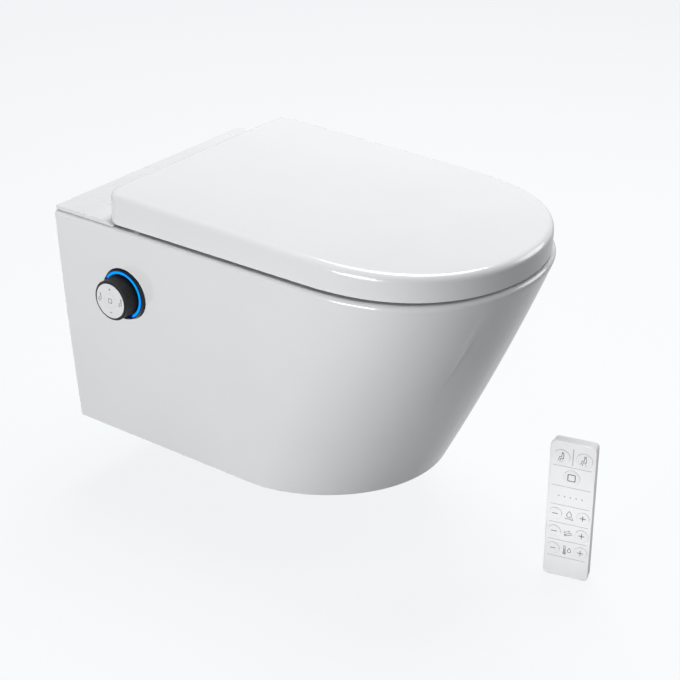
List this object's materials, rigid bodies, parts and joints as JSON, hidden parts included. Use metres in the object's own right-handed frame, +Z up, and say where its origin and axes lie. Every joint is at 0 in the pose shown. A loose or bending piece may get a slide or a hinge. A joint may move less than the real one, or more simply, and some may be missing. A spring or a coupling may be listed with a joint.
{
  "type": "smart toilet with heated seat",
  "caption": "Wall-hung D-shaped ceramic toilet with wrap-over soft-close lid, heated washing seat, lit side knob and a separate button handset.",
  "frame": {"origin": "midway between the two wall bolts, on the finished wall", "axes": "+Y into the wall along the bolts, -Y towards the user, +Z up, +X to the left of a seated user"},
  "size_m": [0.4042, 0.7101, 0.4617],
  "materials": {
    "glazed_ceramic": "gloss glaze",
    "white_gloss": "gloss moulded thermoset",
    "white_satin": "satin moulded plastic",
    "white_remote": "fine gloss",
    "button_white": "soft gloss",
    "face_grey": "satin",
    "knob_black": "satin black",
    "bezel_black": "satin black",
    "light_blue": "lit light guide",
    "dark_seal": "soft",
    "grey_rubber": "soft",
    "steel": "brushed",
    "wand_white": "gloss",
    "wand_tip": "polished",
    "pom": "natural acetal",
    "dark_plastic": "matt",
    "grey_plastic": "matt",
    "motor_metal": "satin",
    "heater_block": "cast",
    "brass": "turned",
    "board_green": "solder resist",
    "foil": "etched foil",
    "lens": "frosted lens",
    "cell": "sleeve"
  },
  "bodies": {
    "pan": {"ceramic_pan": "glazed_ceramic", "fixing_sleeves": "grey_plastic", "flush_distributor": "white_gloss", "deck_seal": "dark_seal", "deck_cover": "white_gloss", "rear_housing": "white_gloss", "hinge_pins": "steel", "seat_damper": "dark_plastic", "lid_damper": "dark_plastic", "wand_motors": "motor_metal", "wand_cradle": "white_satin", "dryer_duct": "dark_plastic", "blower_housing": "dark_plastic", "water_tray": "grey_plastic", "electronics_tray": "grey_plastic", "water_heater": "heater_block", "water_pump": "motor_metal", "inlet_valve": "dark_plastic", "water_inlet": "brass", "water_filter": "grey_plastic", "power_supply": "motor_metal", "control_board": "board_green", "carbon_filter": "dark_plastic", "cable_gland": "dark_plastic", "night_light": "lens", "knob_bezel": "bezel_black", "light_ring": "light_blue", "knob_encoder": "dark_plastic"},
    "seat": {"seat_base": "white_satin", "seat_top": "white_gloss", "seat_heater": "foil", "seat_buffers": "grey_rubber"},
    "lid": {"lid_shell": "white_gloss", "lid_buffers": "grey_rubber"},
    "rear_wand": {"rear_wand": "wand_white", "rear_wand_tip": "wand_tip"},
    "front_wand": {"front_wand": "wand_white", "front_wand_tip": "wand_tip"},
    "rear_pinion": {"rear_pinion": "pom"},
    "front_pinion": {"front_pinion": "pom"},
    "impeller": {"blower_impeller": "grey_plastic"},
    "flap": {"dryer_flap": "white_gloss"},
    "knob": {"knob_ring": "knob_black"},
    "knob_button": {"knob_face": "face_grey"},
    "handset": {"remote_front": "white_remote", "remote_back": "white_remote", "remote_board": "board_green", "remote_leds": "lens", "remote_batteries": "cell"},
    "battery_door": {"battery_door": "white_remote"},
    "rear_wash_button": {"rear_wash_button": "button_white"},
    "front_wash_button": {"front_wash_button": "button_white"},
    "stop_button": {"stop_button": "button_white"},
    "pressure_down_button": {"pressure_down_button": "button_white"},
    "pressure_up_button": {"pressure_up_button": "button_white"},
    "position_back_button": {"position_back_button": "button_white"},
    "position_front_button": {"position_front_button": "button_white"},
    "cooler_button": {"cooler_button": "button_white"},
    "warmer_button": {"warmer_button": "button_white"}
  },
  "joints": [
    {"name": "seat_hinge", "type": "hinge", "parent": "pan", "child": "seat", "pos_m": [0, -0.105, 0.126], "axis": [-1, 0, 0], "range_deg": [0, 90]},
    {"name": "lid_hinge", "type": "hinge", "parent": "seat", "child": "lid", "pos_m": [0, -0.105, 0.126], "axis": [1, 0, 0], "range_deg": [-95, 0]},
    {"name": "rear_wand_slide", "type": "slide", "parent": "pan", "child": "rear_wand", "axis": [0, -0.9511, -0.309], "range_m": [0, 0.085]},
    {"name": "rear_pinion_spin", "type": "hinge", "parent": "pan", "child": "rear_pinion", "pos_m": [-0.0095, -0.19806, 0.10639], "axis": [1, 0, 0], "range_deg": [-700, 0]},
    {"name": "front_wand_slide", "type": "slide", "parent": "pan", "child": "front_wand", "axis": [0, -0.9511, -0.309], "range_m": [0, 0.085]},
    {"name": "front_pinion_spin", "type": "hinge", "parent": "pan", "child": "front_pinion", "pos_m": [0.0095, -0.19806, 0.10639], "axis": [1, 0, 0], "range_deg": [-700, 0]},
    {"name": "impeller_spin", "type": "hinge", "parent": "pan", "child": "impeller", "pos_m": [0.112, -0.158, 0.04], "axis": [0, 0, 1], "continuous": true},
    {"name": "flap_hinge", "type": "hinge", "parent": "pan", "child": "flap", "pos_m": [0.054, -0.2337, 0.09], "axis": [-1, 0, 0], "range_deg": [0, 60]},
    {"name": "knob_turn", "type": "hinge", "parent": "pan", "child": "knob", "pos_m": [-0.2, -0.115, 0.004], "axis": [-1, 0, 0], "continuous": true},
    {"name": "knob_press", "type": "slide", "parent": "pan", "child": "knob_button", "axis": [1, 0, 0], "range_m": [0, 0.001], "stiffness_N_per_m": 1200, "springref_m": -0.001},
    {"name": "handset_lift", "type": "slide", "parent": "pan", "child": "handset", "axis": [0, 0, 1], "range_m": [0, 0.25]},
    {"name": "battery_door_slide", "type": "slide", "parent": "handset", "child": "battery_door", "axis": [0, 0, -1], "range_m": [0, 0.036]},
    {"name": "rear_wash_button_press", "type": "slide", "parent": "handset", "child": "rear_wash_button", "axis": [0.9703, 0.2419, 0], "range_m": [0, 0.0007], "stiffness_N_per_m": 700, "springref_m": -0.0007},
    {"name": "front_wash_button_press", "type": "slide", "parent": "handset", "child": "front_wash_button", "axis": [0.9703, 0.2419, 0], "range_m": [0, 0.0007], "stiffness_N_per_m": 700, "springref_m": -0.0007},
    {"name": "stop_button_press", "type": "slide", "parent": "handset", "child": "stop_button", "axis": [0.9703, 0.2419, 0], "range_m": [0, 0.0007], "stiffness_N_per_m": 700, "springref_m": -0.0007},
    {"name": "pressure_down_button_press", "type": "slide", "parent": "handset", "child": "pressure_down_button", "axis": [0.9703, 0.2419, 0], "range_m": [0, 0.0007], "stiffness_N_per_m": 700, "springref_m": -0.0007},
    {"name": "pressure_up_button_press", "type": "slide", "parent": "handset", "child": "pressure_up_button", "axis": [0.9703, 0.2419, 0], "range_m": [0, 0.0007], "stiffness_N_per_m": 700, "springref_m": -0.0007},
    {"name": "position_back_button_press", "type": "slide", "parent": "handset", "child": "position_back_button", "axis": [0.9703, 0.2419, 0], "range_m": [0, 0.0007], "stiffness_N_per_m": 700, "springref_m": -0.0007},
    {"name": "position_front_button_press", "type": "slide", "parent": "handset", "child": "position_front_button", "axis": [0.9703, 0.2419, 0], "range_m": [0, 0.0007], "stiffness_N_per_m": 700, "springref_m": -0.0007},
    {"name": "cooler_button_press", "type": "slide", "parent": "handset", "child": "cooler_button", "axis": [0.9703, 0.2419, 0], "range_m": [0, 0.0007], "stiffness_N_per_m": 700, "springref_m": -0.0007},
    {"name": "warmer_button_press", "type": "slide", "parent": "handset", "child": "warmer_button", "axis": [0.9703, 0.2419, 0], "range_m": [0, 0.0007], "stiffness_N_per_m": 700, "springref_m": -0.0007}
  ],
  "couplings": [
    {"joint": "rear_pinion_spin", "follows": "rear_wand_slide", "rad_per_m": -142.86},
    {"joint": "front_pinion_spin", "follows": "front_wand_slide", "rad_per_m": -142.86}
  ]
}
